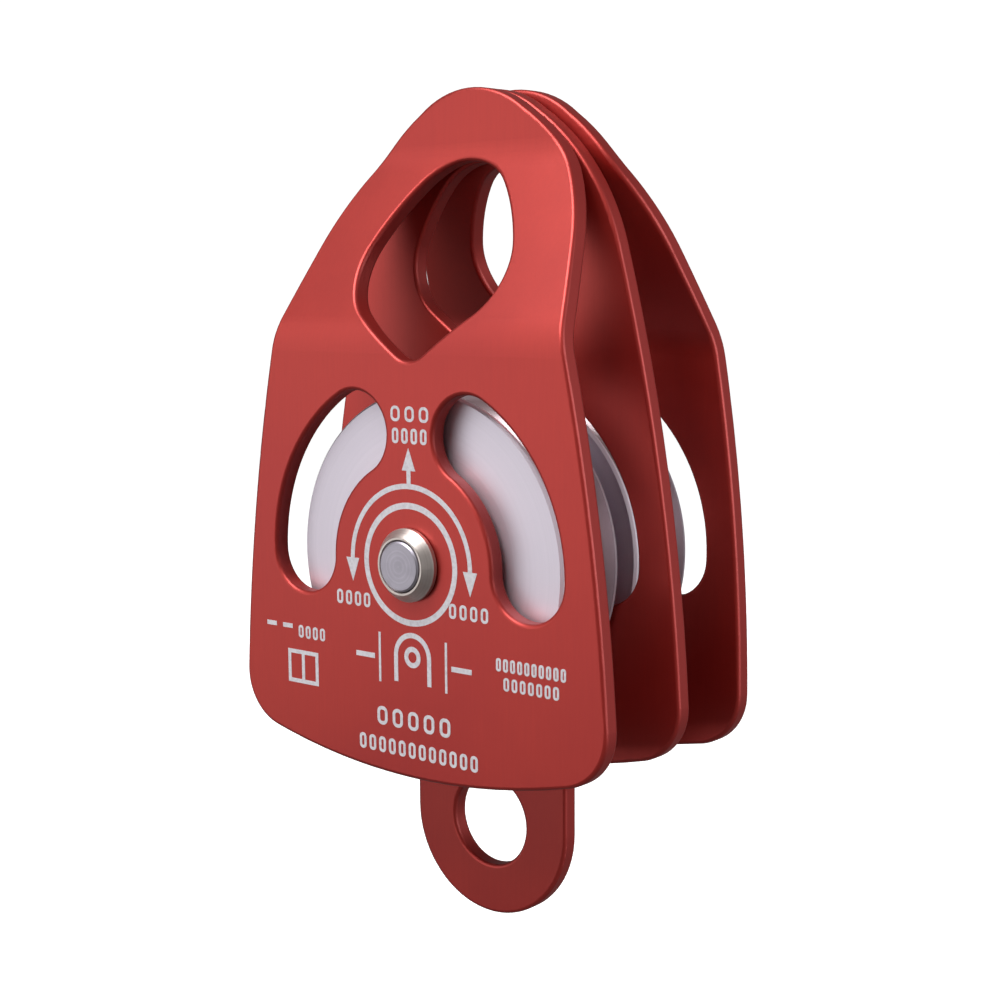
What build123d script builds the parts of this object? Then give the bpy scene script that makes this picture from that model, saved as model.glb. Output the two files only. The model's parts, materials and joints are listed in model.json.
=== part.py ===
from build123d import *
import os
from math import atan, cos, radians, sin, tan

# Double rope pulley with a becket. Two grooved sheaves turn on one axle, one on
# each side of a flat middle plate. A swinging cheek plate closes each side, and
# its upper end is joggled inwards so that all three plates meet at one
# carabiner eye.
#
# Millimetres. X is the width, Y runs along the axle and Z is up. The origin is
# the carabiner's seat: the top of the eye, at half the middle plate's thickness.

# --- Driving dimensions -------------------------------------------------------

PLATE_T = 4.0            # thickness of every plate
GAP = 21.0               # clear space between the middle plate and a cheek
SEAT_H = 84.6            # the carabiner's seat above the axle
EDGE_R = 0.8             # rounding of every plate edge

# Plate outline, measured from the axle
TOP_H = 97.4
SHOULDER_X, SHOULDER_H = 13.9, 92.7
HIP_X, HIP_H = 34.4, 65.1
WAIST_X, WAIST_H = 46.1, 9.0
FOOT_X, FOOT_H = 50.2, -37.4
BOTTOM_H = -45.4
FOOT_R = 12.0

# Joggle of the cheeks
JOGGLE = 20.2            # sideways step of the upper end
BEND_LOW_H = 46.5        # mid-sheet corner of the lower bend
BEND_HIGH_H = 82.7       # mid-sheet corner of the upper bend
BEND_R = 13.0            # mid-sheet radius of both bends

REAR_SWING = 2.8         # degrees that the rear cheek hangs turned towards +X

# Carabiner eye
EYE_TOP_H = 86.3         # where the two upper flanks would meet
EYE_SIDE_X, EYE_SIDE_H = 21.6, 55.6
EYE_TIP_H = 40.2         # where the two lower flanks would meet
EYE_FLANK_SAG = 4.3      # bulge of the upper flanks
EYE_TOP_R, EYE_SIDE_R, EYE_TIP_R = 15.0, 12.0, 6.5

# Kidney windows, bent round the axle
WINDOW_R = 30.6          # radius of the window's centre line
WINDOW_W = 17.7
WINDOW_ARC = 60.0        # degrees between the two round ends

# Becket, the tongue below the middle plate
BECKET_R = 21.0
BECKET_H = -60.5
BECKET_HOLE_R = 10.0
BECKET_FILLET = 7.0

# Sheave
SHEAVE_R = 35.5
SHEAVE_SIDE_GAP = 1.0
ROPE_GROOVE_R = 8.3      # seats a 16 mm rope
ROOT_R = 25.8
RIM_CHAMFER = 0.5
FLANGE_T = 1.1

# Ball bearing, 12 x 32 x 10
AXLE_R = 6.0
BEARING_R = 16.0
BEARING_W = 10.0
RACE_INNER_R = 9.2
RACE_OUTER_R = 12.8
BALL_PITCH_R = 11.0
BALL_R = 2.85
BALL_COUNT = 7
BALL_PLAY = 0.2
CAGE_T = 1.3
CAGE_W = 7.4
SHIELD_T = 0.5
SHIELD_SEAT_R = 13.5
SHIELD_DEPTH = 0.8       # step in the outer race that takes a shield
LIP_R = 14.2             # shoulder in the sheave behind the bearing
CLIP_T = 1.2
CLIP_GROOVE_R = 16.8
CLIP_BORE_R = 13.9
CLIP_MOUTH = 40.0        # degrees left open between the clip's ends
CLIP_LUG_ANGLE = 24.0    # degrees from the mouth's middle to a lug
CLIP_LUG_R = 1.7
CLIP_LUG_HOLE_R = 0.7

# Axle ends
SPACER_R = 8.6
COLLAR_R = 7.65
COLLAR_FACE_R = 6.0
COLLAR_EDGE_H = 0.9      # straight edge of the collar next to the cheek
COLLAR_H = 2.9
TENON_R = 5.2            # axle end inside the collar
TENON_CHAMFER = 0.35

# Clearances
FIT = 0.03               # radial, pieces that stay together
RUNNING = 0.06           # radial, a cheek on the axle
SIDE_PLAY = 0.3          # axial, either side of a cheek
OVERCUT = 1.0            # how far a cut runs past the face that it opens

# --- Worked-out positions ------------------------------------------------------

CHEEK_Y = PLATE_T / 2 + GAP + PLATE_T / 2            # mid-sheet of a cheek's lower part
SHEAVE_Y = PLATE_T / 2 + GAP / 2
SHEAVE_W = GAP - 2 * SHEAVE_SIDE_GAP
COLLAR_Y = CHEEK_Y + PLATE_T / 2 + SIDE_PLAY         # where a collar's inner face sits

os.makedirs("parts", exist_ok=True)


# --- Helpers -------------------------------------------------------------------

def save(shape, name):
    """Move a shape from the axle to the part's frame and write it."""
    export_step(Pos(0, 0, -SEAT_H) * shape, f"parts/{name}.step")


def ring(inner_r, outer_r, y_low, y_high):
    """A plain ring about the axle between two places along it."""
    with BuildPart() as part:
        with BuildSketch(Plane.XY):
            with Locations(((inner_r + outer_r) / 2, (y_low + y_high) / 2)):
                Rectangle(outer_r - inner_r, y_high - y_low)
        revolve(axis=Axis.Y)
    return part.part


def turned(*corners):
    """Revolve a closed outline of (radius, y) corners about the axle."""
    with BuildPart() as part:
        with BuildSketch(Plane.XY):
            with BuildLine():
                Polyline(*corners, close=True)
            make_face()
        revolve(axis=Axis.Y)
    return part.part


def upright(outline, y_low, y_high):
    """Extrude a face drawn in X and Z between two places along Y."""
    return extrude(Pos(0, y_high, 0) * (Plane.XZ * outline), y_high - y_low)


def rounded_plate(plate, hole_r):
    """Round a plate's rims, but not the axle hole or the lines across its bends."""
    lines = plate.edges().filter_by(GeomType.LINE)
    circles = plate.edges().filter_by(GeomType.CIRCLE)
    seams = lines.filter_by(Axis.X) + lines.filter_by(Axis.Y)
    hole = circles.filter_by(lambda edge: edge.radius < hole_r + FIT)
    return fillet(plate.edges() - seams - hole, EDGE_R)


# --- Plate outlines, drawn with the axle at the origin ---------------------------

def plate_outline():
    """Outline shared by all three plates."""
    with BuildSketch() as sketch:
        with BuildLine():
            bottom = ThreePointArc((-FOOT_X, FOOT_H), (0, BOTTOM_H), (FOOT_X, FOOT_H))
            flank = ThreePointArc(bottom @ 1, (WAIST_X, WAIST_H), (HIP_X, HIP_H))
            shoulder = TangentArc(flank @ 1, (SHOULDER_X, SHOULDER_H), tangent=flank % 1)
            ThreePointArc(shoulder @ 1, (0, TOP_H), (-SHOULDER_X, SHOULDER_H))
            mirror(flank, about=Plane.YZ)
            mirror(shoulder, about=Plane.YZ)
        make_face()
        feet = sketch.vertices().sort_by(Axis.Y)[:2]
        fillet(feet, FOOT_R)
    return sketch.sketch


def eye_outline():
    """Rounded shield: domed top, widest low down, V-shaped foot."""
    with BuildSketch() as sketch:
        with BuildLine():
            flank = SagittaArc((0, EYE_TOP_H), (EYE_SIDE_X, EYE_SIDE_H), EYE_FLANK_SAG)
            foot = Line(flank @ 1, (0, EYE_TIP_H))
            mirror(flank, about=Plane.YZ)
            mirror(foot, about=Plane.YZ)
        make_face()
        by_height = sketch.vertices().sort_by(Axis.Y)
        fillet(by_height[0], EYE_TIP_R)
        fillet(sketch.vertices().sort_by(Axis.X)[0], EYE_SIDE_R)
        fillet(sketch.vertices().sort_by(Axis.X)[-1], EYE_SIDE_R)
        fillet(sketch.vertices().sort_by(Axis.Y)[-1], EYE_TOP_R)
    return sketch.sketch


def window_outlines():
    """The two kidney windows, left and right of the axle."""
    with BuildSketch() as sketch:
        for start in (0, 180 - WINDOW_ARC):
            SlotArc(CenterArc((0, 0), WINDOW_R, start, WINDOW_ARC), WINDOW_W)
    return sketch.sketch


def becket_outline():
    """Tongue with a round end, reaching up into the plate."""
    with BuildSketch() as sketch:
        with Locations((0, BECKET_H)):
            Circle(BECKET_R)
        with Locations((0, BECKET_H / 2)):
            Rectangle(2 * BECKET_R, -BECKET_H)
    return sketch.sketch


# --- Plates ----------------------------------------------------------------------

def middle_plate():
    """Flat plate with windows, eye, axle hole and the becket."""
    with BuildSketch() as sketch:
        add(plate_outline())
        add(becket_outline())
        inner_corners = sketch.vertices().filter_by(
            lambda v: abs(abs(v.X) - BECKET_R) < FIT and v.Y > BECKET_H + BECKET_FILLET
        )
        fillet(inner_corners, BECKET_FILLET)
        add(eye_outline(), mode=Mode.SUBTRACT)
        add(window_outlines(), mode=Mode.SUBTRACT)
        Circle(AXLE_R + FIT, mode=Mode.SUBTRACT)
        with Locations((0, BECKET_H)):
            Circle(BECKET_HOLE_R, mode=Mode.SUBTRACT)
    plate = upright(sketch.sketch, -PLATE_T / 2, PLATE_T / 2)
    return rounded_plate(plate, AXLE_R + FIT)


def cheek_section():
    """The joggled sheet seen along X: Y across, Z up, closed at both ends."""
    half = PLATE_T / 2
    bend = atan(JOGGLE / (BEND_HIGH_H - BEND_LOW_H))
    shift = half * tan(bend / 2)
    low, high = BOTTOM_H - PLATE_T, TOP_H + PLATE_T

    def sheet_face(side):
        """One face of the sheet: side 1 is the outer face, side -1 the inner."""
        return FilletPolyline(
            (CHEEK_Y + side * half, low),
            (CHEEK_Y + side * half, BEND_LOW_H + side * shift),
            (CHEEK_Y + side * half - JOGGLE, BEND_HIGH_H + side * shift),
            (CHEEK_Y + side * half - JOGGLE, high),
            radius=[BEND_R + side * half, BEND_R - side * half],
        )

    with BuildSketch(Plane.YZ) as sketch:
        with BuildLine():
            outside = sheet_face(1)
            inside = sheet_face(-1)
            Line(outside @ 0, inside @ 0)
            Line(outside @ 1, inside @ 1)
        make_face()
    return sketch.sketch


def cheek():
    """Rear cheek: the joggled sheet cut to the plates' outline and openings."""
    with BuildSketch() as sketch:
        add(plate_outline())
        add(eye_outline(), mode=Mode.SUBTRACT)
        add(window_outlines(), mode=Mode.SUBTRACT)
        Circle(AXLE_R + RUNNING, mode=Mode.SUBTRACT)
    blank = upright(sketch.sketch, 0, CHEEK_Y + PLATE_T)
    sheet = extrude(cheek_section(), 2 * FOOT_X, both=True)
    return rounded_plate(blank & sheet, AXLE_R + RUNNING)


# --- Sheave and bearing, drawn for the rear side ------------------------------------

def sheave():
    """Grooved wheel, bored for a bearing with a lip behind it and a clip groove."""
    inner, outer = SHEAVE_Y - SHEAVE_W / 2, SHEAVE_Y + SHEAVE_W / 2
    seat = SHEAVE_Y - BEARING_W / 2
    clip_low = SHEAVE_Y + BEARING_W / 2
    clip_high = clip_low + CLIP_T + 2 * FIT
    groove_centre_r = ROOT_R + ROPE_GROOVE_R
    mouth = SHEAVE_W / 2 - FLANGE_T
    with BuildPart() as part:
        with BuildSketch(Plane.XY):
            with BuildLine():
                Polyline(
                    (groove_centre_r, SHEAVE_Y + ROPE_GROOVE_R),
                    (SHEAVE_R, SHEAVE_Y + mouth),
                    (SHEAVE_R, outer - RIM_CHAMFER),
                    (SHEAVE_R - RIM_CHAMFER, outer),
                    (BEARING_R + 2 * RIM_CHAMFER, outer),
                    (BEARING_R + FIT, outer - RIM_CHAMFER),
                    (BEARING_R + FIT, clip_high),
                    (CLIP_GROOVE_R, clip_high),
                    (CLIP_GROOVE_R, clip_low),
                    (BEARING_R + FIT, clip_low),
                    (BEARING_R + FIT, seat),
                    (LIP_R, seat),
                    (LIP_R, inner),
                    (SHEAVE_R - RIM_CHAMFER, inner),
                    (SHEAVE_R, inner + RIM_CHAMFER),
                    (SHEAVE_R, SHEAVE_Y - mouth),
                    (groove_centre_r, SHEAVE_Y - ROPE_GROOVE_R),
                )
                ThreePointArc(
                    (groove_centre_r, SHEAVE_Y - ROPE_GROOVE_R),
                    (ROOT_R, SHEAVE_Y),
                    (groove_centre_r, SHEAVE_Y + ROPE_GROOVE_R),
                )
            make_face()
        revolve(axis=Axis.Y)
    return part.part


def raceway():
    """The ring-shaped space that the balls roll in."""
    path = Plane.XZ.offset(-SHEAVE_Y) * Circle(BALL_PITCH_R).edge()
    return sweep(Plane(path @ 0, z_dir=path % 0) * Circle(BALL_R + BALL_PLAY), path)


def inner_race():
    """Bearing ring that sits on the axle."""
    half = BEARING_W / 2
    return ring(AXLE_R + FIT, RACE_INNER_R, SHEAVE_Y - half, SHEAVE_Y + half) - raceway()


def outer_race():
    """Bearing ring held in the sheave, with a step on each side for a shield."""
    half = BEARING_W / 2
    body = ring(RACE_OUTER_R, BEARING_R, SHEAVE_Y - half, SHEAVE_Y + half) - raceway()
    for side in (-1, 1):
        step = sorted((SHEAVE_Y + side * half, SHEAVE_Y + side * (half - SHIELD_DEPTH)))
        body -= ring(RACE_OUTER_R - OVERCUT, SHIELD_SEAT_R, *step)
    return body


def ball_places():
    """Centres of the balls, evenly spaced, with the rings' seam midway between two."""
    return [Pos(0, SHEAVE_Y, 0) * Rot(0, 360 * (i + 0.5) / BALL_COUNT, 0) * Pos(BALL_PITCH_R, 0, 0)
            for i in range(BALL_COUNT)]


def balls():
    """The bearing's balls, as separate solids."""
    return Compound(children=[place * Sphere(BALL_R) for place in ball_places()])


def cage():
    """Ring between the races with one round window for each ball."""
    half_t, half_w = CAGE_T / 2, CAGE_W / 2
    body = ring(BALL_PITCH_R - half_t, BALL_PITCH_R + half_t,
                SHEAVE_Y - half_w, SHEAVE_Y + half_w)
    for place in ball_places():
        body -= place * Rot(0, 90, 0) * Cylinder(BALL_R + BALL_PLAY / 2, CAGE_T + 2 * OVERCUT)
    return body


def shield(side):
    """Thin cover in the outer race's step, on the outer or the inner side."""
    near = SHEAVE_Y + side * (BEARING_W / 2 - SHIELD_DEPTH + FIT)
    far = near + side * SHIELD_T
    return ring(RACE_INNER_R + SIDE_PLAY, SHIELD_SEAT_R - FIT, *sorted((near, far)))


def retaining_ring():
    """Open spring ring in the sheave's groove, with a drilled lug at each end."""
    low = SHEAVE_Y + BEARING_W / 2 + FIT
    outer_r = CLIP_GROOVE_R - 2 * FIT
    lug_r = CLIP_BORE_R + CLIP_LUG_R / 2
    with BuildSketch() as sketch:
        Circle(outer_r)
        Circle(CLIP_BORE_R, mode=Mode.SUBTRACT)
        with Locations((0, outer_r)):
            Rectangle(2 * outer_r * sin(radians(CLIP_MOUTH / 2)), outer_r, mode=Mode.SUBTRACT)
        for side in (-1, 1):
            angle = radians(90 + side * CLIP_LUG_ANGLE)
            with Locations((lug_r * cos(angle), lug_r * sin(angle))):
                Circle(CLIP_LUG_R)
                Circle(CLIP_LUG_HOLE_R, mode=Mode.SUBTRACT)
    return upright(sketch.sketch, low, low + CLIP_T)


# --- Axle group ------------------------------------------------------------------------

def axle():
    """Plain pin through every piece, with a narrower tenon at each end."""
    tip = COLLAR_Y + COLLAR_H + TENON_CHAMFER
    return turned(
        (0, -tip),
        (TENON_R - TENON_CHAMFER, -tip),
        (TENON_R, -tip + TENON_CHAMFER),
        (TENON_R, -COLLAR_Y),
        (AXLE_R, -COLLAR_Y),
        (AXLE_R, COLLAR_Y),
        (TENON_R, COLLAR_Y),
        (TENON_R, tip - TENON_CHAMFER),
        (TENON_R - TENON_CHAMFER, tip),
        (0, tip),
    )


def collar():
    """Conical collar on the axle's rear end."""
    face = COLLAR_Y + COLLAR_H
    bore_r = TENON_R + FIT
    return turned(
        (bore_r, COLLAR_Y),
        (COLLAR_R, COLLAR_Y),
        (COLLAR_R, COLLAR_Y + COLLAR_EDGE_H),
        (COLLAR_FACE_R, face),
        (bore_r + TENON_CHAMFER, face),
        (bore_r, face - 2 * TENON_CHAMFER),
    )


def outer_spacer():
    """Spacer between the bearing and the cheek."""
    cheek_face = PLATE_T / 2 + GAP
    return ring(AXLE_R + FIT, SPACER_R, SHEAVE_Y + BEARING_W / 2, cheek_face - SIDE_PLAY)


def inner_spacer():
    """Spacer between the middle plate and the bearing."""
    return ring(AXLE_R + FIT, SPACER_R, PLATE_T / 2, SHEAVE_Y - BEARING_W / 2)


# --- Write every piece -------------------------------------------------------------------

save(middle_plate(), "middle_plate")
save(axle(), "axle_pin")

REAR_PIECES = {
    "cheek": cheek(),
    "collar": collar(),
    "outer_spacer": outer_spacer(),
    "inner_spacer": inner_spacer(),
    "inner_race": inner_race(),
    "outer_race": outer_race(),
    "balls": balls(),
    "cage": cage(),
    "outer_shield": shield(1),
    "inner_shield": shield(-1),
    "retaining_ring": retaining_ring(),
    "sheave": sheave(),
}

for name, piece in REAR_PIECES.items():
    swing = REAR_SWING if name == "cheek" else 0
    save(Rot(0, swing, 0) * piece, f"rear_{name}")
    save(mirror(piece, about=Plane.XZ), f"front_{name}")
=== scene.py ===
# %% [markdown]
# # A double rope pulley with a becket
#
# Two sheaves run on one axle, either side of a flat middle plate. A swinging
# cheek closes each side. The real one is cut and pressed from red anodised
# aluminium, with turned aluminium sheaves and a stainless axle.
#
# The plates, sheaves and bearings arrive as finished CAD solids, so Blender's
# work is their finishes, the white marks printed on the front cheek, the light
# and the camera.

# %% Load the frame
import bpy
import json
from math import cos, pi, radians, sin
from mathutils import Euler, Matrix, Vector


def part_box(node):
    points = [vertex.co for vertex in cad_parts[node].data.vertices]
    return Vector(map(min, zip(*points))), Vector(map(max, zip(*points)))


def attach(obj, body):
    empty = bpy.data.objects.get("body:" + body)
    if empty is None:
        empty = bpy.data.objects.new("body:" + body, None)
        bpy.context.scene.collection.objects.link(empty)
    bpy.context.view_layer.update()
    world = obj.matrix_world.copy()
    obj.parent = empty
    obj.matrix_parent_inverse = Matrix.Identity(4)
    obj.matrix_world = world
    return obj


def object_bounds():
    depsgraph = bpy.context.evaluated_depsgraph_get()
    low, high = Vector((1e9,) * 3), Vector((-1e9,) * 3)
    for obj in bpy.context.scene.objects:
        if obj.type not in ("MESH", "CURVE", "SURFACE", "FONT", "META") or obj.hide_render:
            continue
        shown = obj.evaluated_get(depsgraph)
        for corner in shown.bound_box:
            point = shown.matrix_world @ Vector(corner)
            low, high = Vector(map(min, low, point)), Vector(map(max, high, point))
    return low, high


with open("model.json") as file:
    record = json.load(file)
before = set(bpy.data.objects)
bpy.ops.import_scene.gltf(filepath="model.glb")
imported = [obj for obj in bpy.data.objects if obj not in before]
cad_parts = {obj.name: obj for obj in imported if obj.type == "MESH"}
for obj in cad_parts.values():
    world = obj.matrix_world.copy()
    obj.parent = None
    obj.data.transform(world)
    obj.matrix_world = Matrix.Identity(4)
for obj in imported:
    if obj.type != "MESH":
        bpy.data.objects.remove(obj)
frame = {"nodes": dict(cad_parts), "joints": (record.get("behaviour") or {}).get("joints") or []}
cad_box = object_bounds()
print("CAD box:", [[round(c, 4) for c in corner] for corner in cad_box])

# %% [markdown]
# Everything on this object is laid out from the axle and from the front
# cheek's outer face, so both are read from the frame once, here.

# %% Where the axle and the front face are
MM = 0.001
axle = Vector(frame["joints"][0]["pos_m"])
front_face_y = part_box("front_cheek")[0].y
print("axle at", tuple(round(c, 4) for c in axle), "front face at y =", round(front_face_y, 4))

# %% [markdown]
# ## Camera
#
# The pulley is seen from its right and a little above, close enough for clear
# perspective. A camera's own matrix is its turn about Z after its tilt, so three
# angles and a place are enough. The small shift keeps the framing without
# turning the lens away from the object.

# %% Camera
CAMERA_YAW = 39.69
CAMERA_PITCH = 8.03
CAMERA_ROLL = -0.42
CAMERA_PLACE = Vector((0.2417, -0.2931, -0.0260))
FOCAL_LENGTH = 63.71
SHIFT_RIGHT = 0.0124
SHIFT_UP = 0.0260

lens = bpy.data.cameras.new("studio_camera")
lens.lens = FOCAL_LENGTH
lens.shift_x = SHIFT_RIGHT
lens.shift_y = SHIFT_UP
camera = bpy.data.objects.new("studio_camera", lens)
turn = Euler((0, 0, radians(CAMERA_YAW))).to_matrix()
tilt = Euler((radians(90 - CAMERA_PITCH), 0, 0)).to_matrix()
roll = Euler((0, 0, radians(CAMERA_ROLL))).to_matrix()
camera.matrix_world = (turn @ tilt @ roll).to_4x4()
camera.location = CAMERA_PLACE
bpy.context.scene.collection.objects.link(camera)
bpy.context.scene.camera = camera
print("camera", round((CAMERA_PLACE - axle).length, 3), "m from the axle")

# %% [markdown]
# ## Node helper
#
# Every finish below is a small node tree. `Finish` keeps the writing short: it
# adds a node, sets its sockets by name, and links a socket when the value given
# is another node's output.

# %% Node helper
NOISE_LOW, NOISE_HIGH = 0.25, 0.75


class Finish:
    """One material, built on a Principled BSDF that reads Object coordinates."""

    def __init__(self, name, **settings):
        self.material = bpy.data.materials.new(name)
        self.material.use_nodes = True
        self.nodes = self.material.node_tree.nodes
        self.links = self.material.node_tree.links
        self.shader = self.nodes["Principled BSDF"]
        for socket, value in settings.items():
            self.shader.inputs[socket.replace("_", " ")].default_value = value
        self.place = self.add("ShaderNodeTexCoord").outputs["Object"]

    def add(self, kind, *inputs, **settings):
        """Add a node. Positional values go to its sockets in order, None skips one."""
        node = self.nodes.new(kind)
        for key, value in settings.items():
            setattr(node, key, value)
        for socket, value in zip(node.inputs, inputs):
            self.put(socket, value)
        return node

    def put(self, socket, value):
        """Link an output to a socket, or set the socket's own value."""
        if isinstance(value, bpy.types.NodeSocket):
            self.links.new(value, socket)
        elif value is not None:
            socket.default_value = value

    def math(self, operation, *values):
        return self.add("ShaderNodeMath", *values, operation=operation).outputs[0]

    def noise(self, feature, detail=2.0, stretch=None, place=None):
        """Noise whose features are about this many metres across."""
        source = place or self.place
        if stretch:
            mapping = self.add("ShaderNodeMapping", source)
            mapping.inputs["Scale"].default_value = stretch
            source = mapping.outputs[0]
        texture = self.add("ShaderNodeTexNoise", source)
        texture.inputs["Scale"].default_value = 1 / feature
        texture.inputs["Detail"].default_value = detail
        return texture.outputs["Fac"]

    def ramp(self, value, *stops):
        """Colour ramp with (position, colour) stops."""
        node = self.add("ShaderNodeValToRGB", value)
        elements = node.color_ramp.elements
        for extra in range(len(stops) - 2):
            elements.new(0.5)
        for element, (position, colour) in zip(elements, stops):
            element.position = position
            element.color = (*colour, 1)
        return node.outputs["Color"]

    def spread(self, value, low, high):
        """Map a noise's usual span to low..high."""
        node = self.add("ShaderNodeMapRange", value, NOISE_LOW, NOISE_HIGH, low, high)
        return node.outputs[0]

    def blend(self, share, first, second):
        """Mix two colours. The Mix node keeps its colour sockets after the others."""
        node = self.nodes.new("ShaderNodeMix")
        node.data_type = "RGBA"
        colour_a, colour_b = [socket for socket in node.inputs if socket.type == "RGBA"]
        self.put(node.inputs["Factor"], share)
        self.put(colour_a, first)
        self.put(colour_b, second)
        return next(socket for socket in node.outputs if socket.type == "RGBA")

    def bump(self, height, depth, under=None):
        """Bump of this depth in metres, on top of an earlier one if given."""
        node = self.add("ShaderNodeBump")
        node.inputs["Distance"].default_value = depth
        self.put(node.inputs["Height"], height)
        self.put(node.inputs["Normal"], under)
        return node.outputs[0]

    def turned_lines(self, pitch):
        """Uneven rings about the axle, as a lathe tool leaves them."""
        centred = self.add("ShaderNodeMapping", self.place)
        centred.inputs["Location"].default_value = -axle
        xyz = self.add("ShaderNodeSeparateXYZ", centred.outputs[0]).outputs
        squares = self.math("ADD", self.math("MULTIPLY", xyz["X"], xyz["X"]),
                            self.math("MULTIPLY", xyz["Z"], xyz["Z"]))
        radius = self.math("SQRT", squares)
        rings = self.add("ShaderNodeCombineXYZ", radius, xyz["Y"], 0.0).outputs[0]
        return self.noise(pitch, 3.0, place=rings)

    def finish(self, colour, roughness, normal):
        """Wire the three sockets that vary over the surface."""
        self.links.new(colour, self.shader.inputs["Base Color"])
        self.links.new(roughness, self.shader.inputs["Roughness"])
        self.links.new(normal, self.shader.inputs["Normal"])
        print("finish:", self.material.name)
        return self.material

# %% [markdown]
# ## Red anodised plate
#
# Anodised sheet keeps the fine grain of the rolled and blasted metal under a
# clear dyed skin. Its colour is slightly uneven over centimetres and the grain
# runs along the sheet. The cut edges and the walls of the eye and windows are
# painted darker: painted shade, for the shade that falls on those walls.
# The edges are found from the surface's own direction, since a plate's faces
# look mostly along Y and its edges don't. The joggled part leans a little, so the
# edge colour starts only past its lean.

# %% Red anodised plate
EDGE_START, EDGE_FULL, EDGE_SHARE = 0.2, 0.6, 0.75


def red_anodised():
    red = Finish("red_anodised_plate", Metallic=0.62, Coat_Weight=0.55, Coat_Roughness=0.42)
    cloud = red.noise(0.035, 3.0)
    grain = red.noise(0.0006, 2.0, stretch=(1.0, 1.0, 0.06))
    blast = red.noise(0.00022, 3.0)
    base = red.ramp(cloud, (0.3, (0.45, 0.021, 0.015)), (0.7, (0.52, 0.030, 0.019)))
    base = red.blend(red.spread(grain, 0.0, 0.16), base, (0.34, 0.012, 0.012, 1))
    direction = red.add("ShaderNodeTexCoord").outputs["Normal"]
    facing = red.add("ShaderNodeSeparateXYZ", direction)
    slope = red.math("SUBTRACT", 1.0, red.math("ABSOLUTE", facing.outputs["Y"]))
    lean = red.add("ShaderNodeMapRange", slope, EDGE_START, EDGE_FULL, 0.0, EDGE_SHARE)
    edge = lean.outputs[0]
    # Painted shade: faces that don't look along Y (cut edges, eye and window walls) are blended
    # towards a darker red.
    base = red.blend(edge, base, (0.29, 0.014, 0.011, 1))
    rough = red.math("ADD", red.spread(cloud, 0.34, 0.42), red.spread(blast, -0.03, 0.05))
    rough = red.math("ADD", rough, red.math("MULTIPLY", edge, 0.2))
    normal = red.bump(grain, 0.000006, red.bump(blast, 0.000010))
    return red.finish(base, rough, normal)

# %% [markdown]
# ## Turned aluminium sheave
#
# A sheave is turned on a lathe and then satin anodised clear: a pale grey with
# fine rings about the axle. Noise read along the radius gives rings of uneven
# depth and spacing, where a sine wave would look machined by a computer. Ropes
# polish the groove, which is found by its distance from the sheave's own middle,
# on either side of the centre plate. Its dark reddish colour is painted shade,
# standing for the shade inside the groove and the red plates reflected in it.

# %% Turned aluminium sheave
FLANGE_LAND = 1.0 * MM
GROOVE_FADE = 0.4 * MM
GROOVE_SHARE = 0.8
GROOVE_SHINE = 0.15
sheave_near, sheave_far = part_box("front_sheave")
sheave_middle = abs(sheave_near.y + sheave_far.y) / 2
groove_half = abs(sheave_far.y - sheave_near.y) / 2 - FLANGE_LAND
print("groove within", round(groove_half, 4), "m of", round(sheave_middle, 4))


def turned_aluminium():
    alloy = Finish("turned_aluminium", Metallic=0.7)
    rings = alloy.turned_lines(0.00035)
    bands = alloy.turned_lines(0.004)
    dust = alloy.noise(0.0003, 2.0)
    base = alloy.ramp(bands, (0.3, (0.75, 0.69, 0.78)), (0.7, (0.85, 0.79, 0.88)))
    base = alloy.blend(alloy.spread(rings, 0.0, 0.16), base, (0.56, 0.55, 0.60, 1))
    rough = alloy.math("ADD", alloy.spread(bands, 0.40, 0.50), alloy.spread(dust, 0.0, 0.06))
    depth_y = alloy.add("ShaderNodeSeparateXYZ", alloy.place).outputs["Y"]
    off_middle = alloy.math("SUBTRACT", alloy.math("ABSOLUTE", depth_y), sheave_middle)
    groove = alloy.add("ShaderNodeMapRange", alloy.math("ABSOLUTE", off_middle),
                       groove_half - GROOVE_FADE, groove_half, GROOVE_SHARE, 0.0).outputs[0]
    # Painted shade: the groove is blended to a dark reddish grey for its shade and for the red
    # plates it reflects.
    base = alloy.blend(groove, base, (0.30, 0.22, 0.22, 1))
    rough = alloy.math("SUBTRACT", rough, alloy.math("MULTIPLY", groove, GROOVE_SHINE))
    normal = alloy.bump(rings, 0.000012, alloy.bump(dust, 0.000004))
    return alloy.finish(base, rough, normal)

# %% [markdown]
# ## Steels, bronze and cage
#
# The axle end is a faced bar: grey, with rings round its centre. The collar is
# brighter stainless with coarser rings. The hidden bearing parts are ground
# steel, the spacers bronze, the retaining ring blackened spring steel and the
# cage moulded nylon. They share one recipe, with their own colours and sizes.

# %% Turned and ground metals
def turned_metal(name, light, dark, pitch, depth, rough):
    metal = Finish(name, Metallic=1.0)
    rings = metal.turned_lines(pitch)
    stain = metal.noise(0.003, 3.0)
    base = metal.ramp(rings, (0.3, dark), (0.7, light))
    shade = tuple(0.8 * channel for channel in dark)
    base = metal.blend(metal.spread(stain, 0.0, 0.35), base, (*shade, 1))
    roughness = metal.math("ADD", metal.spread(stain, rough, rough + 0.1),
                           metal.spread(rings, 0.0, 0.08))
    return metal.finish(base, roughness, metal.bump(rings, depth))


def moulded_nylon():
    nylon = Finish("moulded_nylon", Metallic=0.0)
    mottle = nylon.noise(0.002, 3.0)
    base = nylon.ramp(mottle, (0.3, (0.020, 0.018, 0.016)), (0.7, (0.045, 0.040, 0.036)))
    pores = nylon.noise(0.0002, 2.0)
    return nylon.finish(base, nylon.spread(mottle, 0.45, 0.6), nylon.bump(pores, 0.000008))

# %% [markdown]
# The printed marks are a pad-printed white ink: matt, very slightly uneven, a
# few hundredths of a millimetre thick.

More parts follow.
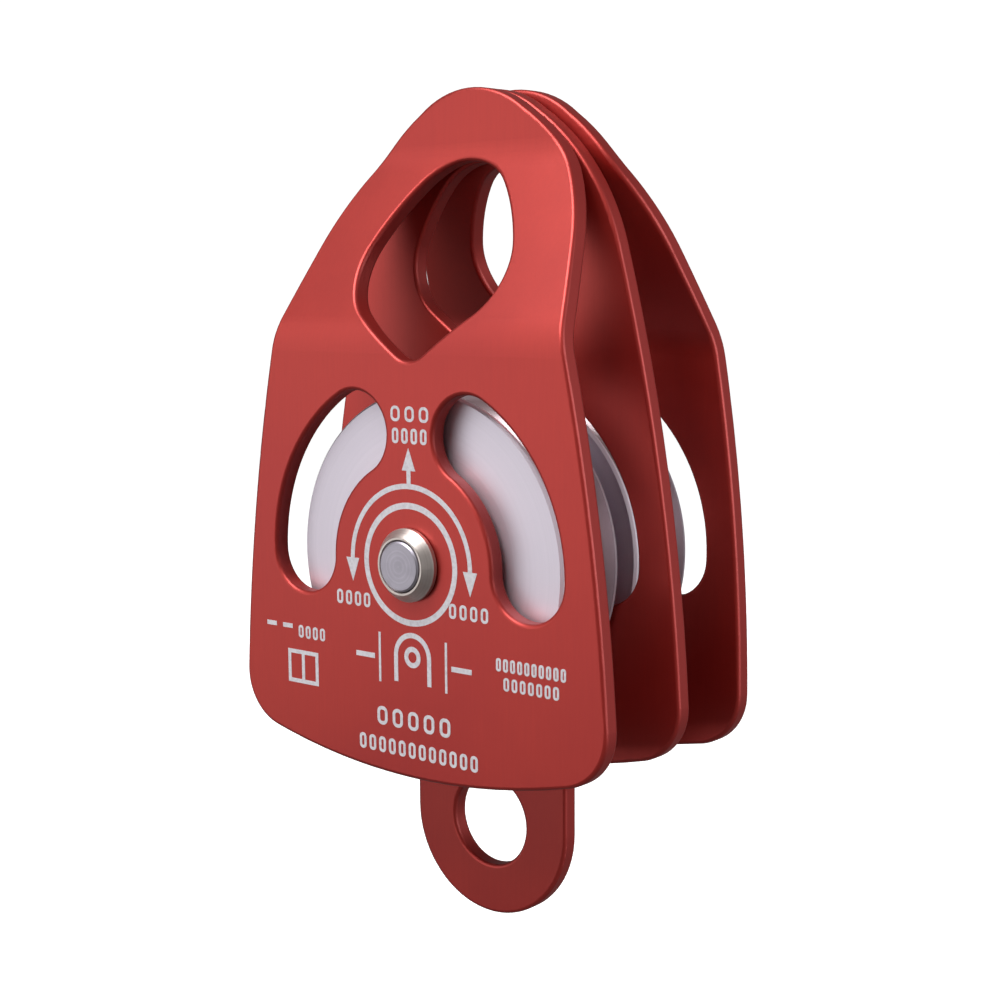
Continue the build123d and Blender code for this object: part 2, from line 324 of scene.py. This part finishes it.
# %% White ink
def white_ink():
    ink = Finish("white_ink", Metallic=0.0)
    cover = ink.noise(0.0007, 3.0)
    base = ink.ramp(cover, (0.2, (0.60, 0.56, 0.60)), (0.6, (0.76, 0.74, 0.78)))
    return ink.finish(base, ink.spread(cover, 0.5, 0.62), ink.bump(cover, 0.000006))

# %% Make the finishes and give each CAD node its own
red = red_anodised()
aluminium = turned_aluminium()
ink = white_ink()
axle_steel = turned_metal("faced_axle_steel", (0.60, 0.56, 0.64), (0.46, 0.43, 0.49),
                          0.0004, 0.000008, 0.40)
collar_steel = turned_metal("turned_collar_steel", (0.80, 0.73, 0.69), (0.62, 0.55, 0.51),
                            0.0006, 0.000012, 0.32)
ground_steel = turned_metal("ground_bearing_steel", (0.66, 0.66, 0.68), (0.58, 0.58, 0.60),
                            0.0002, 0.000003, 0.16)
pressed_steel = turned_metal("pressed_shield_steel", (0.42, 0.42, 0.44), (0.33, 0.33, 0.35),
                             0.0009, 0.000006, 0.30)
black_steel = turned_metal("blackened_spring_steel", (0.09, 0.09, 0.10), (0.05, 0.05, 0.06),
                           0.0008, 0.000005, 0.35)
bronze = turned_metal("turned_bronze", (0.62, 0.42, 0.22), (0.50, 0.32, 0.16),
                      0.0005, 0.000008, 0.26)
nylon = moulded_nylon()

FINISH_OF = {
    "middle_plate": red,
    "cheek": red,
    "sheave": aluminium,
    "axle_pin": axle_steel,
    "collar": collar_steel,
    "outer_spacer": bronze,
    "inner_spacer": bronze,
    "inner_race": ground_steel,
    "outer_race": ground_steel,
    "balls": ground_steel,
    "cage": nylon,
    "outer_shield": pressed_steel,
    "inner_shield": pressed_steel,
    "retaining_ring": black_steel,
}
for name, node in frame["nodes"].items():
    plain_name = name.removeprefix("front_").removeprefix("rear_")
    node.data.materials.clear()
    node.data.materials.append(FINISH_OF[plain_name])
print(len(frame["nodes"]), "CAD nodes finished")

# %% [markdown]
# ## Geometry Nodes helper
#
# Two kinds of mark on this object repeat or follow a path: the printed rings and
# arcs, and the rows of small characters. Each kind is one Geometry Nodes tree
# with named inputs. A piece is made by putting the tree on an empty mesh, setting
# the inputs by their identifiers, and keeping the evaluated result as plain mesh.

# %% Geometry Nodes helper
class Tree:
    """A Geometry Nodes tree with named inputs, ending in one geometry."""

    def __init__(self, name, **sizes):
        self.group = bpy.data.node_groups.new(name, "GeometryNodeTree")
        sides = self.group.interface
        sides.new_socket("Geometry", in_out="OUTPUT", socket_type="NodeSocketGeometry")
        for label, kind in sizes.items():
            sides.new_socket(label.replace("_", " "), in_out="INPUT", socket_type=kind)
        sides.new_socket("Material", in_out="INPUT", socket_type="NodeSocketMaterial")
        self.inputs = self.group.nodes.new("NodeGroupInput").outputs
        self.output = self.group.nodes.new("NodeGroupOutput").inputs

    def add(self, kind, sockets=None, **settings):
        """Add a node, with its sockets given by name."""
        node = self.group.nodes.new(kind)
        for key, value in settings.items():
            setattr(node, key, value)
        for name, value in (sockets or {}).items():
            if isinstance(value, bpy.types.NodeSocket):
                self.group.links.new(value, node.inputs[name])
            else:
                node.inputs[name].default_value = value
        return node.outputs

    def end(self, geometry):
        """Realize, set the material and close the tree."""
        real = self.add("GeometryNodeRealizeInstances", {"Geometry": geometry})["Geometry"]
        done = self.add("GeometryNodeSetMaterial",
                        {"Geometry": real, "Material": self.inputs["Material"]})["Geometry"]
        self.group.links.new(done, self.output["Geometry"])
        print("tree:", self.group.name, "with", len(self.group.nodes), "nodes")
        return self


def grown(tree, name, material, **values):
    """Run a tree once and return its result as an object with a plain mesh."""
    holder = bpy.data.objects.new(name + "_holder", bpy.data.meshes.new(name))
    bpy.context.scene.collection.objects.link(holder)
    modifier = holder.modifiers.new("grow", "NODES")
    modifier.node_group = tree.group
    values["Material"] = material
    for item in tree.group.interface.items_tree:
        if item.in_out == "INPUT":
            modifier[item.identifier] = values[item.name.replace(" ", "_")]
    settled = holder.evaluated_get(bpy.context.evaluated_depsgraph_get())
    mesh = bpy.data.meshes.new_from_object(settled)
    bpy.data.objects.remove(holder)
    piece = bpy.data.objects.new(name, mesh)
    bpy.context.scene.collection.objects.link(piece)
    return piece

# %% [markdown]
# ## Printed strokes
#
# The front cheek carries white marks round the axle: a full ring, and outside
# it an arc with an arrow at each end and one on top, showing where the load pulls.
# An arc is a curve with a flat rectangular profile swept along it. A ring is the
# same with the curve closed, so one tree serves both.

# %% Stroke tree
def stroke_tree():
    tree = Tree("printed_stroke", Radius="NodeSocketFloat", Start="NodeSocketFloat",
                Sweep="NodeSocketFloat", Closed="NodeSocketBool",
                Line_Width="NodeSocketFloat", Ink_Height="NodeSocketFloat")
    given = tree.inputs
    arc = tree.add("GeometryNodeCurveArc", {
        "Resolution": 72, "Radius": given["Radius"],
        "Start Angle": given["Start"], "Sweep Angle": given["Sweep"]})["Curve"]
    circle = tree.add("GeometryNodeCurvePrimitiveCircle",
                      {"Resolution": 96, "Radius": given["Radius"]})["Curve"]
    path = tree.add("GeometryNodeSwitch", {
        "Switch": given["Closed"], "False": arc, "True": circle}, input_type="GEOMETRY")["Output"]
    profile = tree.add("GeometryNodeCurvePrimitiveQuadrilateral", {
        "Width": given["Line Width"], "Height": given["Ink Height"]})["Curve"]
    band = tree.add("GeometryNodeCurveToMesh", {
        "Curve": path, "Profile Curve": profile, "Fill Caps": True})["Mesh"]
    flat = tree.add("GeometryNodeSetShadeSmooth",
                    {"Geometry": band, "Shade Smooth": False})["Geometry"]
    return tree.end(flat)


strokes = stroke_tree()

# %% [markdown]
# A mark is drawn flat in X and Y, with ink rising along Z, then stood up against
# the cheek's face. `on_face` writes that place into the mesh, so the finished
# object stays at the origin. The ink sinks a hair into the plate, so no gap shows.

# %% Put a mark on the cheek's face
INK = 0.06 * MM
SINK = 0.02 * MM


def on_face(piece, x=0.0, z=0.0):
    """Stand a flat mark on the front face, x and z millimetres from the axle."""
    for vertex in piece.data.vertices:
        across, up, out = vertex.co
        vertex.co = (across + x * MM, front_face_y + SINK - INK / 2 - out, axle.z + up + z * MM)
    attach(piece, "front_swing_cheek")
    print(piece.name, len(piece.data.polygons), "faces")
    return piece


def stroke(name, radius, width, start=0.0, sweep=0.0):
    """A printed ring, or an arc if it has a sweep. Millimetres and degrees."""
    return grown(strokes, name, ink, Radius=radius * MM, Start=radians(start),
                 Sweep=radians(sweep), Closed=sweep == 0.0,
                 Line_Width=width * MM, Ink_Height=INK)

# %% [markdown]
# Straight marks are flat prisms: an arrow's head has three corners, a bar four.
# The corners are listed anticlockwise as seen from the front, so every normal
# points outward. Marks meet edge to edge and never overlap, because two white
# faces in the same place would flicker.

# %% Straight marks
def flat_mark(name, corners):
    """A printed shape with these (x, z) corners, in millimetres from the axle."""
    count = len(corners)
    points = [(x * MM, z * MM, side * INK / 2) for side in (-1, 1) for x, z in corners]
    faces = [tuple(reversed(range(count))), tuple(range(count, 2 * count))]
    faces += [(i, (i + 1) % count, (i + 1) % count + count, i + count) for i in range(count)]
    mesh = bpy.data.meshes.new(name)
    mesh.from_pydata(points, [], faces)
    mesh.materials.append(ink)
    mark = bpy.data.objects.new(name, mesh)
    bpy.context.scene.collection.objects.link(mark)
    return on_face(mark)


def arrow_head(name, x, base_z, tip_z):
    half = HEAD_WIDTH / 2 if tip_z > base_z else -HEAD_WIDTH / 2
    return flat_mark(name, [(x - half, base_z), (x + half, base_z), (x, tip_z)])


def bar(name, x, z, width, height):
    """A plain bar round its middle."""
    left, right = x - width / 2, x + width / 2
    low, high = z - height / 2, z + height / 2
    return flat_mark(name, [(left, low), (right, low), (right, high), (left, high)])


HEAD_WIDTH = 3.7
ARC_R, ARC_LINE = 16.2, 1.1
STEM_TOP = 19.4
stem_foot = ARC_R + ARC_LINE / 2
on_face(stroke("printed_ring", 12.2, 1.3))
on_face(stroke("printed_load_arc", ARC_R, ARC_LINE, sweep=180))
bar("printed_stem", 0.0, (stem_foot + STEM_TOP) / 2, ARC_LINE, STEM_TOP - stem_foot)
arrow_head("printed_head_up", 0.0, STEM_TOP, 24.1)
arrow_head("printed_head_left", -ARC_R, 0.0, -5.0)
arrow_head("printed_head_right", ARC_R, 0.0, -5.0)

# %% [markdown]
# ## Rows of generic characters
#
# The small print is only suggested: every character is a plain nought, a tall
# rounded box drawn with a thin line. The tree rounds a rectangle's corners, sweeps
# a small profile round it, then instances it on a line of points. The count is an
# input, so one tree prints every row.

# %% Character tree
def character_tree():
    tree = Tree("printed_row", Count="NodeSocketInt", Pitch="NodeSocketFloat",
                Box_Width="NodeSocketFloat", Box_Height="NodeSocketFloat",
                Corner_Radius="NodeSocketFloat",
                Line_Width="NodeSocketFloat", Ink_Height="NodeSocketFloat")
    given = tree.inputs
    outline = tree.add("GeometryNodeCurvePrimitiveQuadrilateral", {
        "Width": given["Box Width"], "Height": given["Box Height"]})["Curve"]
    profile = tree.add("GeometryNodeCurvePrimitiveQuadrilateral", {
        "Width": given["Line Width"], "Height": given["Ink Height"]})["Curve"]
    rounded = tree.add("GeometryNodeFilletCurve", {
        "Curve": outline, "Count": 5, "Radius": given["Corner Radius"],
        "Limit Radius": True}, mode="POLY")["Curve"]
    box = tree.add("GeometryNodeCurveToMesh",
                   {"Curve": rounded, "Profile Curve": profile})["Mesh"]
    flat = tree.add("GeometryNodeSetShadeSmooth",
                    {"Geometry": box, "Shade Smooth": False})["Geometry"]
    step = tree.add("ShaderNodeCombineXYZ", {"X": given["Pitch"]})["Vector"]
    line = tree.add("GeometryNodeMeshLine",
                    {"Count": given["Count"], "Offset": step})["Mesh"]
    row = tree.add("GeometryNodeInstanceOnPoints", {"Points": line, "Instance": flat})
    return tree.end(row["Instances"])


characters = character_tree()

# %% [markdown]
# The layout below gives each row's middle, its size and how many characters it
# stands for. Strength figures sit by the arrows, the rope size at the right, and
# a maker's line and a batch line at the foot. Larger rows have a thicker line.

# %% Small print
CHARACTER_FILL = 0.58
LINE_SHARE = 0.19
ROUNDING = 0.42


def print_row(name, x, z, width, height, count):
    """A row of characters round its middle, in millimetres from the axle."""
    pitch = width / (count - 1 + CHARACTER_FILL)
    line = LINE_SHARE * height
    box = pitch * CHARACTER_FILL - line / 2
    piece = grown(characters, name, ink, Count=count, Pitch=pitch * MM, Box_Width=box * MM,
                  Box_Height=(height - line) * MM, Corner_Radius=ROUNDING * box * MM,
                  Line_Width=line * MM, Ink_Height=INK)
    return on_face(piece, x - pitch * (count - 1) / 2, z)


SMALL_PRINT = {
    "printed_top_name": (0.4, 31.0, 10.0, 3.2, 3),
    "printed_top_load": (0.3, 26.5, 9.2, 3.2, 4),
    "printed_left_load": (-16.2, -8.7, 9.4, 3.1, 4),
    "printed_right_load": (15.7, -8.4, 10.0, 3.1, 4),
    "printed_left_code": (-29.0, -17.9, 7.8, 2.8, 4),
    "printed_right_code": (31.5, -17.8, 17.2, 2.7, 10),
    "printed_rope_size": (31.6, -21.6, 13.6, 2.7, 7),
    "printed_maker_line": (0.4, -33.0, 20.0, 4.0, 5),
    "printed_batch_line": (1.4, -39.3, 32.6, 3.4, 12),
}
for name, row in SMALL_PRINT.items():
    print_row(name, *row)

# %% [markdown]
# ## Generic pictograms
#
# The wide mark below the axle stands for a rope over a wheel: an arch with two
# legs, a small ring inside it, and bars left and right. The one at the left is a
# leaflet to read: a frame with a fold down its middle, under a pair of dashes.

# %% Pictograms
SIGN_X, SIGN_Z = 0.4, -19.4
ARCH_R, ARCH_LINE, LEG_H = 4.6, 1.1, 5.6
WHEEL_R = 1.7
POST_LINE, POST_H = 0.6, 10.6
WING_W = 5.4
MIDDLE_Z = SIGN_Z - 1.0
on_face(stroke("printed_rope_arch", ARCH_R, ARCH_LINE, sweep=180), SIGN_X, SIGN_Z)
on_face(stroke("printed_small_wheel", WHEEL_R, ARCH_LINE), SIGN_X, SIGN_Z)
for side, x in (("left", -ARCH_R), ("right", ARCH_R)):
    bar(f"printed_leg_{side}", SIGN_X + x, SIGN_Z - LEG_H / 2, ARCH_LINE, LEG_H)
    bar(f"printed_post_{side}", SIGN_X + 2 * x, MIDDLE_Z, POST_LINE, POST_H)
    bar(f"printed_wing_{side}", SIGN_X + 2.9 * x, MIDDLE_Z, WING_W, ARCH_LINE)

LEAF_X, LEAF_Z = -31.8, -25.8
LEAF_W, LEAF_H, LEAF_LINE = 8.4, 7.4, 0.9
for part, x in (("left", -LEAF_W / 2), ("fold", 0.0), ("right", LEAF_W / 2)):
    bar(f"printed_leaf_{part}", LEAF_X + x, LEAF_Z, LEAF_LINE, LEAF_H)
for side in (-1, 1):
    for end in (-1, 1):
        place = "_".join((("left", "right")[side > 0], ("foot", "head")[end > 0]))
        bar(f"printed_page_{place}", LEAF_X + side * LEAF_W / 4,
            LEAF_Z + end * (LEAF_H - LEAF_LINE) / 2, LEAF_W / 2 - LEAF_LINE, LEAF_LINE)
DASH_Z, DASH_W, DASH_LINE = -17.0, 3.0, 1.0
for side, x in (("left", -41.4), ("right", -36.4)):
    bar(f"printed_pair_{side}", x, DASH_Z, DASH_W, DASH_LINE)

# %% [markdown]
# ## Stage and light
#
# A white studio bowl: a round floor that curves up into a wall, so that no corner
# shows from any side. It glows a little by itself and takes soft shadows. It
# doesn't light the object or show in its metal, because white all round would
# wash out the dark red between the plates. The three lamps do that work.

# %% Studio bowl
FLOOR_DROP = 0.07
BOWL_R, BOWL_BEND, BOWL_H = 2.6, 0.8, 3.0
BOWL_SIDES = 72
BEND_STEP = 9


def studio_bowl():
    """Floor and wall, turned about a vertical line through the axle."""
    floor_z = cad_box[0][2] - FLOOR_DROP
    flat = BOWL_R - BOWL_BEND
    profile = [(flat + BOWL_BEND * sin(radians(a)), floor_z + BOWL_BEND * (1 - cos(radians(a))))
               for a in range(0, 91, BEND_STEP)]
    profile.append((BOWL_R, floor_z + BOWL_H))
    around = [2 * pi * i / BOWL_SIDES for i in range(BOWL_SIDES)]
    points = [(r * cos(a), r * sin(a), z) for r, z in profile for a in around]
    faces = [tuple(range(BOWL_SIDES))]
    for row in range(len(profile) - 1):
        for i in range(BOWL_SIDES):
            j = (i + 1) % BOWL_SIDES
            low, high = row * BOWL_SIDES, (row + 1) * BOWL_SIDES
            faces.append((low + i, high + i, high + j, low + j))
    mesh = bpy.data.meshes.new("studio_bowl")
    mesh.from_pydata(points, [], faces)
    mesh.shade_smooth()
    bowl = bpy.data.objects.new("studio_bowl", mesh)
    bpy.context.scene.collection.objects.link(bowl)
    print("studio bowl,", len(faces), "faces, floor at z =", round(floor_z, 3))
    return bowl


def studio_paint():
    paint = Finish("studio_paint", Emission_Color=(1, 1, 1, 1), Emission_Strength=0.75)
    cloud = paint.noise(0.4, 2.0)
    base = paint.ramp(cloud, (0.2, (0.86, 0.86, 0.86)), (0.8, (0.90, 0.90, 0.90)))
    return paint.finish(base, paint.spread(cloud, 0.8, 0.9), paint.bump(cloud, 0.0001))


bowl = studio_bowl()
bowl.data.materials.append(studio_paint())
bowl.visible_diffuse = False
bowl.visible_glossy = False
bowl.visible_shadow = False

# %% [markdown]
# The key light is high and in front: it catches the sloping upper part of the
# cheek, and leaves the becket in the cheek's shadow. A broad weak light in front
# lifts the upright faces. One from the right and slightly behind draws the plates'
# cut edges without reaching the faces between them.

# %% Lights
def softbox(name, place, size, power):
    """A square area light that faces the axle."""
    light = bpy.data.lights.new(name, "AREA")
    light.size = size
    light.energy = power
    lamp = bpy.data.objects.new(name, light)
    lamp.location = place
    lamp.rotation_euler = (axle - Vector(place)).to_track_quat("-Z", "Y").to_euler()
    lamp.visible_camera = False
    bpy.context.scene.collection.objects.link(lamp)
    print(name, "at", place, power, "W")


softbox("key_light", (-0.2, -0.8, 1.2), 0.9, 23)
softbox("front_light", (-0.9, -1.4, 0.2), 1.6, 9)
softbox("side_light", (1.4, 0.25, 0.2), 0.9, 14)

SURROUND_LIGHT = 0.14
world = bpy.data.worlds.new("studio_surround")
world.use_nodes = True
surround = world.node_tree.nodes["Background"].inputs
surround["Color"].default_value = (1.0, 1.0, 1.0, 1)
surround["Strength"].default_value = SURROUND_LIGHT
bpy.context.scene.world = world
bpy.context.scene.view_settings.view_transform = "Standard"
